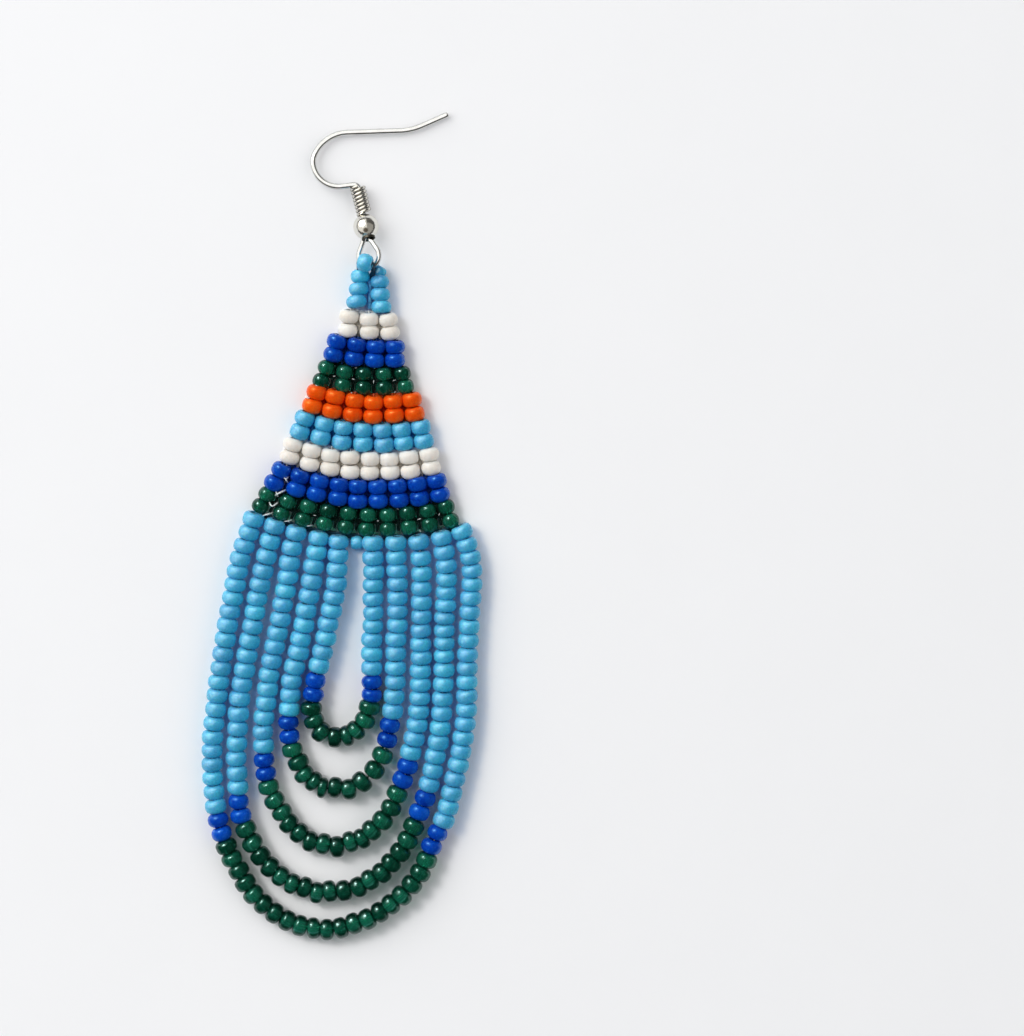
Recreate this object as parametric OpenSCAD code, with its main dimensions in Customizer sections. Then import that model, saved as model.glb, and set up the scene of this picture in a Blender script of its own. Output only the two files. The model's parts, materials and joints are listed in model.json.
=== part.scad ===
// Beaded statement earring, lying flat on its back. A woven triangle of two-row
// bands, five graduated fringe loops, a small ring of beads at the apex, and an
// ear wire with a ball and a coil. Millimetres, +Z up, +Y toward the ear wire.

/* [Fringe beads] */
// Diameter of a bead on the five hanging loops
strand_bead_d = 2.5; // [2.0:0.05:2.5]
// Length of a loop bead along its thread
strand_bead_len = 1.6; // [1.3:0.05:1.6]
// Length of a transparent green bead at the foot of a loop
arc_bead_len = 1.5; // [1.3:0.05:1.5]

/* [Woven beads] */
// Diameter of a bead in the woven triangle and the apex ring
band_bead_d = 2.3; // [2.0:0.05:2.3]
// Length of a bead in the woven triangle
band_bead_len = 1.5; // [1.2:0.05:1.5]
// Diameter of the thread bundle that joins the beads
thread_d = 0.4; // [0.3:0.05:0.6]

/* [Ear wire] */
// Diameter of the ear wire
wire_d = 0.75; // [0.7:0.05:0.8]
// Straight run of the hook over the ear
hook_run = 6.6; // [5:0.1:7]
// Straight run at the hook's tip
tip_run = 3.2; // [3:0.1:4]
// Angle by which the tip kicks outward
tip_kick = 22; // [15:1:25]
// Diameter of the ball on the stem
ball_d = 3.2; // [3:0.1:3.3]
// Diameter of the fine wire wound round the stem
coil_wire_d = 0.45; // [0.43:0.01:0.46]
// Number of turns in the coil
coil_turns = 8; // [5:1:8]

/* [Hidden] */
$fn = 24;

// Routes are laid out on a drawing grid of eight units to the millimetre,
// x to the right and y downward. mid is the grid point under the origin.
grid = 8;
mid = [342.05, 525.85];
function G(p) = [(p[0] - mid[0]) / grid, (mid[1] - p[1]) / grid];

sky_blue = "deepskyblue";
cobalt_blue = "mediumblue";
glass_green = "darkgreen";
pearl_white = "antiquewhite";
bright_orange = "darkorange";
metal = "silver";

// ---- curves ------------------------------------------------------------
// smooth curve through the points P, sampled k times a span
function ends(P) = concat([2 * P[0] - P[1]], P, [2 * P[len(P) - 1] - P[len(P) - 2]]);
function blend(a, b, c, d, t) =
    0.5 * (2 * b + (c - a) * t + (2 * a - 5 * b + 4 * c - d) * t * t
           + (3 * b - a - 3 * c + d) * t * t * t);
function curve(P, k = 8) = let (E = ends(P))
    concat([for (i = [0:len(P) - 2]) for (j = [0:k - 1])
                blend(E[i], E[i + 1], E[i + 2], E[i + 3], j / k)],
           [P[len(P) - 1]]);
// running length at each sample
function runs(Q) = [for (i = 0, s = 0; i < len(Q);
                         s = s + (i < len(Q) - 1 ? norm(Q[i + 1] - Q[i]) : 0), i = i + 1) s];
function along(Q, S, d) =
    let (k = max([for (i = [0:len(S) - 2]) if (S[i] <= d + 0.0001 || i == 0) i]))
    Q[k] + (Q[k + 1] - Q[k]) * (d - S[k]) / (S[k + 1] - S[k]);
// n bead centres spaced evenly along the route P, first and last on its ends
function beads(P, n) = let (Q = curve([for (p = P) G(p)]), S = runs(Q), L = S[len(S) - 1])
    [for (i = [0:n - 1]) along(Q, S, L * i / (n - 1))];
function heading(v) = atan2(v[1], v[0]);

// ---- pieces of the string ----------------------------------------------
// round glass bead with its hole filled by thread, axis along local Z
module bead(d, h) {
    r = d / 2;
    rotate_extrude()
        polygon([[0, -h / 2], [0.5 * r, -h / 2], [0.82 * r, -0.38 * h], [r, -0.14 * h],
                 [r, 0.14 * h], [0.82 * r, 0.38 * h], [0.5 * r, h / 2], [0, h / 2]]);
}
// bead laid flat at p with its axis along heading a
module laid(p, a, d, h) {
    translate([p[0], p[1], d / 2]) rotate([0, 90, a]) bead(d, h);
}
// thread between two neighbouring beads
module tie(a, b, z) {
    s = a + 0.3 * (b - a);
    translate([s[0], s[1], z]) rotate([0, 90, heading(b - a)])
        cylinder(h = 0.4 * norm(b - a), d = thread_d);
}
// beads strung along centres c
module strung(c, d, h) {
    n = len(c);
    for (i = [0:n - 1])
        laid(c[i], heading(c[min(i + 1, n - 1)] - c[max(i - 1, 0)]), d, h);
    for (i = [0:n - 2]) tie(c[i], c[i + 1], d / 2);
}

// ---- fringe loops ------------------------------------------------------
// one row a loop: bead counts [sky, cobalt, green], then the five routes
// left sky, left cobalt, green foot, right cobalt, right sky
LOOPS = [
    [[10, 2, 8],
     [[338, 542], [337, 570], [334, 597], [328, 624], [322, 652], [319, 666]],
     [[316, 680], [313, 693.5]],
     [[311, 708], [314, 722], [323, 734], [336, 738], [348, 736], [358, 729], [366, 719], [370, 708.5]],
     [[372, 694], [372, 680.5]],
     [[372, 667], [372, 640], [373, 613], [373, 586], [374, 566], [373, 543]]],
    [[13, 2, 10],
     [[318, 538], [314, 567], [309, 596], [304, 625], [298, 653], [292, 681], [289, 708]],
     [[288, 722], [289, 736]],
     [[292, 750], [299, 764], [312, 780], [335, 789], [361, 783], [375, 770], [382, 755]],
     [[387, 740], [390, 725]],
     [[392, 711], [395, 682], [396, 654], [397, 625], [397, 598], [397, 571], [396, 543]]],
    [[16, 2, 14],
     [[296, 533], [289, 563], [285, 591], [280, 619], [275, 646], [269, 675], [266, 703], [263, 732], [264, 746]],
     [[264, 760], [266, 774]],
     [[269, 788], [281, 812], [298, 833], [323, 845], [350, 843], [372, 831], [391, 808], [397, 793]],
     [[402, 780], [407, 766]],
     [[410, 752], [417, 725], [420, 698], [420, 671], [421, 644], [421, 617], [422, 588], [422, 565], [419, 542]]],
    [[19, 2, 17],
     [[274, 526], [266, 557], [260, 585], [255, 613], [249, 642], [245, 670], [240, 699], [238, 728], [236, 758], [238, 787]],
     [[238, 801], [241, 815]],
     [[246, 829], [260, 856], [280, 877], [304, 888], [330, 892], [359, 887], [382, 873], [400, 853], [414, 826]],
     [[419, 812], [424, 798]],
     [[429, 784], [435, 756], [440, 728], [442, 699], [444, 670], [444, 643], [445, 618], [446, 592], [446, 566], [442, 538]]],
    [[22, 2, 20],
     [[253, 519], [244, 546], [237, 572], [230, 611], [223, 654], [218, 690], [214, 724], [212, 757], [213, 785], [215, 806]],
     [[218, 820], [222, 833]],
     [[226, 846], [239, 871], [253, 895], [274, 913], [299, 926], [327, 930], [354, 924], [380, 912], [402, 896], [420, 873], [427, 860]],
     [[432, 846], [438, 833]],
     [[444, 820], [451, 793], [458, 765], [463, 738], [466, 710], [467, 682], [467, 655], [469, 627], [471, 598], [472, 571], [467, 545], [462, 531]]]
];
module sky_side(k, side) {
    color(sky_blue) strung(beads(LOOPS[k][side], LOOPS[k][0][0]), strand_bead_d, strand_bead_len);
}
module cobalt_side(k, side) {
    color(cobalt_blue) strung(beads(LOOPS[k][side], LOOPS[k][0][1]), strand_bead_d, strand_bead_len);
}
module green_foot(k) {
    color(glass_green) strung(beads(LOOPS[k][3], LOOPS[k][0][2]), strand_bead_d, arc_bead_len);
}

// ---- woven triangle ----------------------------------------------------
// one row a band: columns, then left, middle and right bead of its upper
// row, then left, middle and right bead of its lower row
BANDS = [
    [3,  [350, 317], [369, 319], [388, 320], [348, 330], [369, 332], [390, 333]],
    [4,  [337, 342], [366, 345], [395, 346], [333, 355], [364, 359], [395, 359]],
    [5,  [326, 368], [364, 373], [403, 373], [321, 381], [363, 387], [405, 386]],
    [6,  [316, 393], [364, 401], [412, 400], [312, 406], [363, 415], [415, 413]],
    [7,  [305, 419], [363, 430], [421, 427], [300, 432], [363, 444], [424, 440]],
    [8,  [293, 445], [360, 458], [429, 454], [289, 458], [360, 472], [431, 467]],
    [9,  [281, 471], [358, 486], [437, 481], [275, 484], [358, 500], [440, 494]],
    [10, [267, 495], [358, 514], [447, 507], [260, 506], [356, 528], [451, 520]]
];
function bowed(L, M, R, t) =
    (1 - t) * (1 - 2 * t) * L + 4 * t * (1 - t) * M + t * (2 * t - 1) * R;
function row(b, at, n) = [for (i = [0:n - 1]) G(bowed(b[at], b[at + 1], b[at + 2], i / (n - 1)))];
module band(k, tint) {
    b = BANDS[k];
    n = b[0];
    top = row(b, 1, n);
    foot = row(b, 4, n);
    color(tint) {
        for (i = [0:n - 1]) {
            a = heading(foot[i] - top[i]);
            laid(top[i], a, band_bead_d, band_bead_len);
            laid(foot[i], a, band_bead_d, band_bead_len);
            tie(top[i], foot[i], band_bead_d / 2);
        }
        for (i = [0:n - 2]) {
            tie(top[i], top[i + 1], band_bead_d / 2);
            tie(foot[i], foot[i + 1], band_bead_d / 2);
        }
    }
}

// ---- apex ring and link bead -------------------------------------------
module apex_left() {
    color(sky_blue) strung(beads([[356, 302.5], [357.5, 290], [359, 277]], 3), band_bead_d, band_bead_len);
}
module apex_right() {
    color(sky_blue) strung(beads([[382, 307], [381, 294.5], [380, 282]], 3), band_bead_d, band_bead_len);
}
// bead that lies over the wire, its hole facing right
module apex_front() {
    p = G([366, 262]);
    color(sky_blue) translate([p[0], p[1], 3.3]) rotate([0, 90, -8]) bead(band_bead_d, 1.7);
}
// smaller bead behind the wire
module apex_back() {
    p = G([378.5, 270.5]);
    color(sky_blue) translate([p[0], p[1], 0.85]) rotate([0, 90, 100]) bead(1.7, 1.1);
}
// small bead strung between the tops of the two innermost strands
module link_bead() {
    p = G([356, 543]);
    color(sky_blue) translate([p[0], p[1], 0.85]) rotate([0, 90, 0]) bead(1.7, 1.5);
}

// ---- ear wire ----------------------------------------------------------
// foot of the stem and start of the foot loop, both inside the ball
stem_at = concat(G([367.3, 233]), [1.55]);
foot_at = concat(G([366.1, 233]), [1.55]);
// the hook leans down to the surface that the earring lies on
hook_lean = -4.5;
stem_head = 101;
// hook from the stem: [run length] or [bend radius, turn, + is to the left]
HOOK = [[5.66], [0.6, 86], [1.48], [3.2, -97], [2, -22], [4.6, -66], [hook_run], [7.5, tip_kick]];
// foot loop that the bead ring hangs from
foot_r = 1.45;
foot_reach = 2.9;
foot_half = asin(foot_r / foot_reach);

// Each run or bend stops a hair short of the next, and a collar too thin to
// see closes the seam.
hair = 0.01;
module seam() { translate([-0.05, 0, 0]) rotate([0, 90, 0]) cylinder(h = 0.1, d = wire_d + 0.01); }
module wire_run(l) { translate([hair, 0, 0]) rotate([0, 90, 0]) cylinder(h = l - 2 * hair, d = wire_d); }
module wire_bend(r, a) {
    cut = hair / r * 180 / PI;
    translate([0, r, 0]) rotate([0, 0, cut - 90])
        rotate_extrude(angle = a - 2 * cut) translate([r, 0]) circle(d = wire_d);
}
module traced(i = 0) {
    if (i > 0) seam();
    if (i == len(HOOK)) tip();
    else if (len(HOOK[i]) == 1) {
        wire_run(HOOK[i][0]);
        translate([HOOK[i][0], 0, 0]) traced(i + 1);
    }
    else if (HOOK[i][1] > 0) {
        wire_bend(HOOK[i][0], HOOK[i][1]);
        translate([0, HOOK[i][0], 0]) rotate([0, 0, HOOK[i][1]])
            translate([0, -HOOK[i][0], 0]) traced(i + 1);
    }
    else {
        mirror([0, 1, 0]) wire_bend(HOOK[i][0], -HOOK[i][1]);
        translate([0, -HOOK[i][0], 0]) rotate([0, 0, HOOK[i][1]])
            translate([0, HOOK[i][0], 0]) traced(i + 1);
    }
}
// straight tip with a rounded end
module tip() {
    wire_run(tip_run);
    translate([tip_run - hair, 0, 0]) sphere(d = wire_d);
}
module at_stem() { translate(stem_at) rotate([hook_lean, 0, 0]) rotate([0, 0, stem_head]) children(); }
module at_foot() { translate(foot_at) rotate([28, -2, -83]) children(); }
module ear_wire() {
    color(metal) {
        at_stem() traced();
        at_foot() {
            for (s = [-1, 1]) rotate([0, 0, s * foot_half])
                translate([-0.15, 0, 0]) wire_run(0.15 + foot_reach * cos(foot_half));
            for (s = [-1, 1]) rotate([0, 0, s * foot_half])
                translate([foot_reach * cos(foot_half), 0, 0]) seam();
            rotate([0, 0, -foot_half]) translate([foot_reach * cos(foot_half), 0, 0])
                wire_bend(foot_r, 180 + 2 * foot_half);
        }
    }
}
module wire_ball() {
    c = G([366.1, 227]);
    color(metal) difference() {
        translate([c[0], c[1], ball_d / 2]) sphere(d = ball_d, $fn = 48);
        at_stem() translate([-0.6, 0, 0]) rotate([0, 90, 0]) cylinder(h = 4, d = wire_d + 0.14);
        at_foot() {
            rotate([0, 90, 0]) cylinder(h = 1.6, r1 = 0.56, r2 = 1.58);
            translate([-0.35, 0, 0]) rotate([0, 90, 0]) cylinder(h = 0.6, r = 0.56);
        }
    }
}
// close turns of fine wire round the stem
module wire_coil() {
    r = wire_d / 2 + 0.03 + coil_wire_d / 2;
    color(metal) at_stem() rotate([0, 90, 0]) rotate_extrude()
        for (i = [0:coil_turns - 1]) translate([r, 2.58 + 0.4 * i]) circle(d = coil_wire_d);
}

ear_wire();
wire_ball();
wire_coil();
apex_left();
apex_right();
apex_front();
apex_back();
band(0, pearl_white);  // band_white_upper
band(1, cobalt_blue);  // band_cobalt_upper
band(2, glass_green);  // band_green_upper
band(3, bright_orange);  // band_orange
band(4, sky_blue);  // band_sky
band(5, pearl_white);  // band_white_lower
band(6, cobalt_blue);  // band_cobalt_lower
band(7, glass_green);  // band_green_lower
link_bead();
sky_side(0, 1);  // loop1_sky_left
cobalt_side(0, 2);  // loop1_cobalt_left
green_foot(0);  // loop1_green
cobalt_side(0, 4);  // loop1_cobalt_right
sky_side(0, 5);  // loop1_sky_right
sky_side(1, 1);  // loop2_sky_left
cobalt_side(1, 2);  // loop2_cobalt_left
green_foot(1);  // loop2_green
cobalt_side(1, 4);  // loop2_cobalt_right
sky_side(1, 5);  // loop2_sky_right
sky_side(2, 1);  // loop3_sky_left
cobalt_side(2, 2);  // loop3_cobalt_left
green_foot(2);  // loop3_green
cobalt_side(2, 4);  // loop3_cobalt_right
sky_side(2, 5);  // loop3_sky_right
sky_side(3, 1);  // loop4_sky_left
cobalt_side(3, 2);  // loop4_cobalt_left
green_foot(3);  // loop4_green
cobalt_side(3, 4);  // loop4_cobalt_right
sky_side(3, 5);  // loop4_sky_right
sky_side(4, 1);  // loop5_sky_left
cobalt_side(4, 2);  // loop5_cobalt_left
green_foot(4);  // loop5_green
cobalt_side(4, 4);  // loop5_cobalt_right
sky_side(4, 5);  // loop5_sky_right
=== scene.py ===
import json
import math
import random

import bpy
import numpy as np
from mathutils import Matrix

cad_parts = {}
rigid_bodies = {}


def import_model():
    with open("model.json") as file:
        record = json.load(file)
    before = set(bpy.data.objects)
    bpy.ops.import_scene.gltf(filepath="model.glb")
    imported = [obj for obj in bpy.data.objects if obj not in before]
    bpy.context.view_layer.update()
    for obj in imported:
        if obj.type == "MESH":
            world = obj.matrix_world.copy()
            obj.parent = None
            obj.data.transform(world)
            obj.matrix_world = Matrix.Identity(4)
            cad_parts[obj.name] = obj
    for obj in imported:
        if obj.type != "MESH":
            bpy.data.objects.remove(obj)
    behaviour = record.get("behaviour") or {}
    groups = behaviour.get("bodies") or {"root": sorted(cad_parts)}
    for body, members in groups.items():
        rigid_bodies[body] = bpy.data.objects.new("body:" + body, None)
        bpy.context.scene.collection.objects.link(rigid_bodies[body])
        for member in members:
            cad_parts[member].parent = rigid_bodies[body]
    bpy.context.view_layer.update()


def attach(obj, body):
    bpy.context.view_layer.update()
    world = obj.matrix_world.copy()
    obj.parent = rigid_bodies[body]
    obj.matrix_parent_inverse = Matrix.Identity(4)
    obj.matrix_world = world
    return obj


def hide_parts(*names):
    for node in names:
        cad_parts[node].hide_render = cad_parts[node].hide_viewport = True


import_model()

# ---------------------------------------------------------------- drawing grid
# eight grid units to the millimetre, x to the right and y downward; MID is the
# grid point that lies under the origin
GRID = 8.0
MID = (342.05, 525.85)


def G(x, y, z=0.0):
    return np.array([(x - MID[0]) / GRID, (MID[1] - y) / GRID, z], float)


# ---------------------------------------------------------------- camera first
LENS = 120.0
REACH = 1036 / GRID * LENS / 36.0          # mm from the lens to the beads' mid-height
cam_data = bpy.data.cameras.new("camera")
cam_data.lens = LENS
cam_data.sensor_width = 36.0
cam_data.clip_start = 0.01
cam_data.clip_end = 10.0
cam = bpy.data.objects.new("camera", cam_data)
bpy.context.scene.collection.objects.link(cam)
aim = G(512, 518)
cam.location = (aim[0] / 1000, aim[1] / 1000, (REACH + 1.25) / 1000)
cam.rotation_euler = (0, 0, 0)
bpy.context.scene.camera = cam

# ---------------------------------------------------------------- node helpers


class Tree:
    """Small helper that adds nodes from left to right and links them."""

    def __init__(self, tree):
        self.t = tree
        tree.nodes.clear()
        self.x = -1400

    def add(self, kind, ins=None, **props):
        n = self.t.nodes.new(kind)
        n.location = (self.x, 0)
        self.x += 90
        for k, v in props.items():
            setattr(n, k, v)
        for k, v in (ins or {}).items():
            self.put(n.inputs[k], v)
        return n

    def put(self, sock, v):
        if isinstance(v, bpy.types.NodeSocket):
            self.t.links.new(v, sock)
        elif hasattr(sock.default_value, "__len__") and not isinstance(v, str):
            v = tuple(v)
            sock.default_value = v + (1.0,) if len(v) == 3 and len(sock.default_value) == 4 else v
        else:
            sock.default_value = v

    def math(self, op, a, b=0.0, clamp=False):
        n = self.add("ShaderNodeMath", operation=op, use_clamp=clamp)
        self.put(n.inputs[0], a)
        self.put(n.inputs[1], b)
        return n.outputs[0]

    def ramp(self, v, lo, hi, a=0.0, b=1.0, smooth=True):
        n = self.add("ShaderNodeMapRange", interpolation_type="SMOOTHSTEP" if smooth else "LINEAR")
        for i, x in enumerate((v, lo, hi, a, b)):
            self.put(n.inputs[i], x)
        return n.outputs[0]

    def mix(self, f, a, b, blend="MIX"):
        n = self.add("ShaderNodeMix", data_type="RGBA", blend_type=blend)
        self.put(n.inputs[0], f)
        self.put(n.inputs[6], a)
        self.put(n.inputs[7], b)
        return n.outputs[2]

    def attr(self, name):
        return self.add("ShaderNodeAttribute", attribute_name=name).outputs["Fac"]

    def noise(self, scale, detail=2.0, rough=0.5, vec=None, dist=0.0):
        n = self.add("ShaderNodeTexNoise")
        if vec is not None:
            self.put(n.inputs["Vector"], vec)
        n.inputs["Scale"].default_value = scale
        n.inputs["Detail"].default_value = detail
        n.inputs["Roughness"].default_value = rough
        n.inputs["Distortion"].default_value = dist
        return n.outputs[0]


def lin(c):
    """0-255 display colour to linear."""
    return tuple(((v / 255) / 12.92) if v / 255 <= 0.04045 else (((v / 255) + 0.055) / 1.055) ** 2.4 for v in c)


def bead_glass(name, deep, body, pale, rough, spec, bump, patch, sss=0.0, sss_radius=(0.3, 0.3, 0.3), tint=None, veil=None,
               leak=(0.0, 0.0, 0.0), grain=0.15):
    """Opaque bead glass. Every bead leans to a deeper or paler shade, has faint
    streaks along it from the drawn rod, patches of a second hue, a fine grain,
    and is painted darker toward its hole as painted shade. A little coloured light gets
    through it, as through milk glass, so its shadows are tinted."""
    m = bpy.data.materials.new(name)
    m.use_nodes = True
    t = Tree(m.node_tree)
    obj = t.add("ShaderNodeTexCoord").outputs["Object"]
    tone = t.attr("tone")
    hue = t.attr("hue")
    rim = t.attr("rim")
    turn = t.attr("turn")
    band = t.attr("band")
    wind = t.add("ShaderNodeCombineXYZ", {"X": t.math("MULTIPLY", turn, 5.0), "Y": t.math("MULTIPLY", band, 0.5),
                                          "Z": t.math("MULTIPLY", tone, 40.0)}).outputs[0]
    streak = t.noise(1.6, 3.0, 0.6, wind)
    cloud = t.noise(1300.0, 2.0, 0.55, obj)
    mottle = t.noise(3600.0, 3.0, 0.65, obj)
    fine = t.noise(11000.0, 2.0, 0.6, obj)
    shade = t.math("ADD", t.math("MULTIPLY", tone, 0.45),
                   t.math("ADD", t.math("MULTIPLY", streak, 0.3),
                          t.math("ADD", t.math("MULTIPLY", mottle, 0.4), t.math("MULTIPLY", fine, 0.15))))
    low = t.mix(t.ramp(shade, 0.25, 0.65), deep, body)
    col = t.mix(t.ramp(shade, 0.65, 1.05), low, pale)
    blot = t.math("MULTIPLY", t.ramp(t.math("ADD", cloud, t.math("MULTIPLY", hue, 0.22)), 0.48, 0.78), 0.55)
    col = t.mix(blot, col, patch)
    col = t.mix(t.ramp(t.noise(5200.0, 2.0, 0.6, obj), 0.36, 0.62, grain, 0.0), col, tuple(c * 0.35 for c in deep))
    # painted shade: the colour is painted darker toward the hole, where shade falls
    hole = t.ramp(rim, 0.6, 1.0)
    col = t.mix(t.math("MULTIPLY", hole, 0.6), col, tuple(c * 0.3 for c in deep))
    rgh = t.ramp(mottle, 0.25, 0.75, rough - 0.05, rough + 0.07, smooth=False)
    bmp = t.add("ShaderNodeBump", {"Strength": bump, "Distance": 0.00003,
                                   "Height": t.math("ADD", mottle, t.math("MULTIPLY", fine, 0.5))})
    p = t.add("ShaderNodeBsdfPrincipled", {"Base Color": col, "Roughness": rgh, "Normal": bmp.outputs[0]})
    p.inputs["IOR"].default_value = 1.52
    p.inputs["Specular IOR Level"].default_value = spec
    if tint:
        p.inputs["Specular Tint"].default_value = (*tint, 1.0)
    if veil:                                    # second gloss over the glass: roughness, IOR
        p.inputs["Coat Weight"].default_value = 1.0
        p.inputs["Coat Roughness"].default_value = veil[0]
        p.inputs["Coat IOR"].default_value = veil[1]
    if sss:
        p.inputs["Subsurface Weight"].default_value = sss
        p.inputs["Subsurface Radius"].default_value = sss_radius
        p.inputs["Subsurface Scale"].default_value = 0.001
    through = t.add("ShaderNodeBsdfTransparent", {"Color": leak})
    lit = t.add("ShaderNodeMixShader", {0: t.add("ShaderNodeLightPath").outputs["Is Shadow Ray"],
                                        1: p.outputs[0], 2: through.outputs[0]})
    t.add("ShaderNodeOutputMaterial", {"Surface": lit.outputs[0]})
    return m


def green_glass(name):
    """Clear to slightly cloudy emerald glass that darkens with the thickness looked
    through; the light that gets through it tints its shadows. Its upper-left side,
    its steep sides and a pale line at the near edge of its hole are painted in, as
    shade and refraction seen from above."""
    m = bpy.data.materials.new(name)
    m.use_nodes = True
    t = Tree(m.node_tree)
    obj = t.add("ShaderNodeTexCoord").outputs["Object"]
    tone = t.attr("tone")
    mottle = t.noise(1500.0, 3.0, 0.6, obj)
    seeds = t.noise(7000.0, 1.0, 0.5, obj)
    col = t.mix(t.ramp(t.math("ADD", t.math("MULTIPLY", tone, 0.45), t.math("MULTIPLY", mottle, 0.75)), 0.30, 0.85),
                (0.008, 0.155, 0.088), (0.033, 0.48, 0.29))
    # painted shade and refraction: the upper-left side is painted deeper, and the near edge of the hole is painted as a
    # pale line with glass painted deeper beyond it
    across, level = t.attr("across"), t.attr("level")
    edge = t.math("SUBTRACT", across, t.math("ADD", 0.30, t.math("MULTIPLY", t.attr("hue"), 0.22)))
    col = t.mix(t.math("MULTIPLY", level, t.ramp(across, -0.85, -0.28, 0.94, 0.0)), col, (0.002, 0.030, 0.020))
    col = t.mix(t.math("MULTIPLY", level, t.ramp(edge, 0.0, 0.20, 0.0, 0.78)), col, (0.003, 0.055, 0.035))
    line = t.math("MULTIPLY", t.ramp(t.math("ABSOLUTE", edge), 0.03, 0.095, 1.0, 0.0), t.ramp(mottle, 0.36, 0.54))
    line = t.math("MULTIPLY", line, t.ramp(tone, 0.3, 0.9))
    col = t.mix(t.math("MULTIPLY", level, line), col, (0.16, 0.80, 0.62))
    # painted shade: the steep sides of the glass are painted dark
    up = t.math("ABSOLUTE", t.add("ShaderNodeSeparateXYZ", {0: t.add("ShaderNodeNewGeometry").outputs["Normal"]}).outputs[2])
    col = t.mix(t.ramp(up, 0.18, 0.72), (0.003, 0.060, 0.038), col)
    bmp = t.add("ShaderNodeBump", {"Strength": 0.14, "Distance": 0.00003,
                                   "Height": t.math("ADD", mottle, t.math("MULTIPLY", seeds, 0.2))})
    p = t.add("ShaderNodeBsdfPrincipled", {"Base Color": col, "Normal": bmp.outputs[0],
                                           "Roughness": t.ramp(mottle, 0.3, 0.8, 0.13, 0.21)})
    p.inputs["IOR"].default_value = 1.52
    p.inputs["Transmission Weight"].default_value = 0.80
    p.inputs["Specular IOR Level"].default_value = 1.0
    p.inputs["Specular Tint"].default_value = (0.64, 1.0, 0.92, 1.0)
    vol = t.add("ShaderNodeVolumeAbsorption")
    vol.inputs["Color"].default_value = (0.08, 0.36, 0.30, 1.0)
    vol.inputs["Density"].default_value = 420.0
    through = t.add("ShaderNodeBsdfTransparent", {"Color": (0.02, 0.09, 0.075)})
    lit = t.add("ShaderNodeMixShader", {0: t.add("ShaderNodeLightPath").outputs["Is Shadow Ray"],
                                        1: p.outputs[0], 2: through.outputs[0]})
    t.add("ShaderNodeOutputMaterial", {"Surface": lit.outputs[0], "Volume": vol.outputs[0]})
    return m


def bright_metal(name, base, rough, spread, bump, dents=0.0, spots=(), painted_side_shade=1.0):
    """Bright metal. Dents are shallow hammer marks; spots are darker, rougher patches:
    centre, radius (m), colour and how much rougher; the last argument is how much of
    the colour is left on the steep sides, which are painted darker as painted shade."""
    m = bpy.data.materials.new(name)
    m.use_nodes = True
    t = Tree(m.node_tree)
    obj = t.add("ShaderNodeTexCoord").outputs["Object"]
    cloud = t.noise(900.0, 3.0, 0.6, obj)
    fine = t.noise(14000.0, 3.0, 0.7, obj)
    col = t.mix(t.ramp(cloud, 0.3, 0.75), tuple(c * 0.9 for c in base), base)
    rgh = t.math("ADD", rough, t.math("MULTIPLY", cloud, spread))
    normal = t.add("ShaderNodeBump", {"Strength": bump, "Distance": 0.00001, "Height": fine}).outputs[0]
    if dents:
        pits = t.noise(2300.0, 2.0, 0.5, obj)
        normal = t.add("ShaderNodeBump", {"Strength": dents, "Distance": 0.00004, "Height": pits, "Normal": normal}).outputs[0]
    for where, radius, dull, more in spots:
        far = t.add("ShaderNodeVectorMath", operation="DISTANCE")
        t.put(far.inputs[0], obj)
        far.inputs[1].default_value = where
        ragged = t.math("ADD", far.outputs["Value"], t.math("MULTIPLY", fine, radius * 0.5))
        col = t.mix(t.ramp(ragged, radius * 0.85, radius * 1.4), dull, col)
        rgh = t.math("ADD", rgh, t.ramp(ragged, radius * 0.85, radius * 1.4, more, 0.0))
    # painted shade: the steep sides are painted darker, as if reflecting shaded floor
    if painted_side_shade < 1:
        up = t.add("ShaderNodeSeparateXYZ", {0: t.add("ShaderNodeNewGeometry").outputs["Normal"]}).outputs[2]
        col = t.mix(t.ramp(up, 0.12, 0.62), tuple(c * painted_side_shade for c in base), col)
    p = t.add("ShaderNodeBsdfPrincipled", {"Base Color": col, "Roughness": rgh, "Normal": normal})
    p.inputs["Metallic"].default_value = 1.0
    t.add("ShaderNodeOutputMaterial", {"Surface": p.outputs[0]})
    return m


def nylon(name, dark, light, clear, rough):
    m = bpy.data.materials.new(name)
    m.use_nodes = True
    t = Tree(m.node_tree)
    obj = t.add("ShaderNodeTexCoord").outputs["Object"]
    lay = t.noise(3000.0, 2.0, 0.6, obj)
    p = t.add("ShaderNodeBsdfPrincipled", {"Base Color": t.mix(lay, dark, light),
                                           "Roughness": t.ramp(lay, 0.2, 0.8, rough, rough + 0.2)})
    p.inputs["IOR"].default_value = 1.53
    p.inputs["Transmission Weight"].default_value = clear
    t.add("ShaderNodeOutputMaterial", {"Surface": p.outputs[0]})
    return m


def shaded_thread(name):
    """Thread deep between the beads, painted in the dark colour of the shade there and of the light the glass round it
    bounces in.
    """
    m = bpy.data.materials.new(name)
    m.use_nodes = True
    t = Tree(m.node_tree)
    obj = t.add("ShaderNodeTexCoord").outputs["Object"]
    shade = t.add("ShaderNodeAttribute", attribute_name="shade").outputs["Color"]
    lay = t.noise(3000.0, 2.0, 0.6, obj)
    t.add("ShaderNodeOutputMaterial", {"Surface": t.add("ShaderNodeBsdfPrincipled", {
        "Base Color": t.mix(t.ramp(lay, 0.25, 0.75, 0.0, 0.45), shade, (0.0, 0.0, 0.0)),
        "Roughness": t.ramp(lay, 0.2, 0.8, 0.45, 0.7)}).outputs[0]})
    return m


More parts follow.
